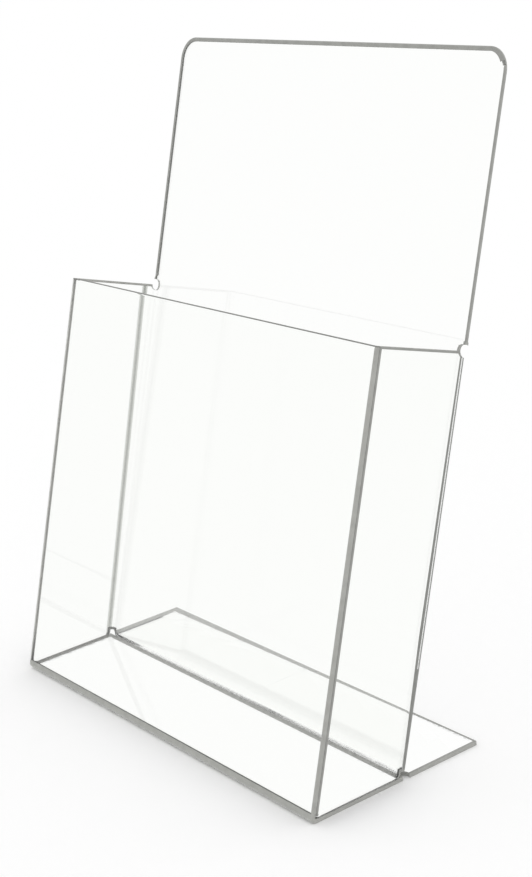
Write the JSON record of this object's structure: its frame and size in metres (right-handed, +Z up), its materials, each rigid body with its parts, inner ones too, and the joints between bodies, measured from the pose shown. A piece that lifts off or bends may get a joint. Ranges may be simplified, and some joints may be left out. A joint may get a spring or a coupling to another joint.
{
  "type": "magazine rack",
  "caption": "Clear acrylic countertop magazine rack with a leaning back panel, an open-topped A4 pocket and a foot bent out behind.",
  "frame": {"origin": "on the table, under the middle of the holder's bounding box", "axes": "+Z up, -Y the front with the pocket's front panel, +X to the right seen from the front"},
  "size_m": [0.22, 0.1328, 0.2887],
  "materials": {
    "back_acrylic": "clear, polished",
    "front_acrylic": "clear, polished"
  },
  "bodies": {
    "root": {"back_sheet": "back_acrylic", "front_sheet": "front_acrylic"}
  },
  "joints": []
}
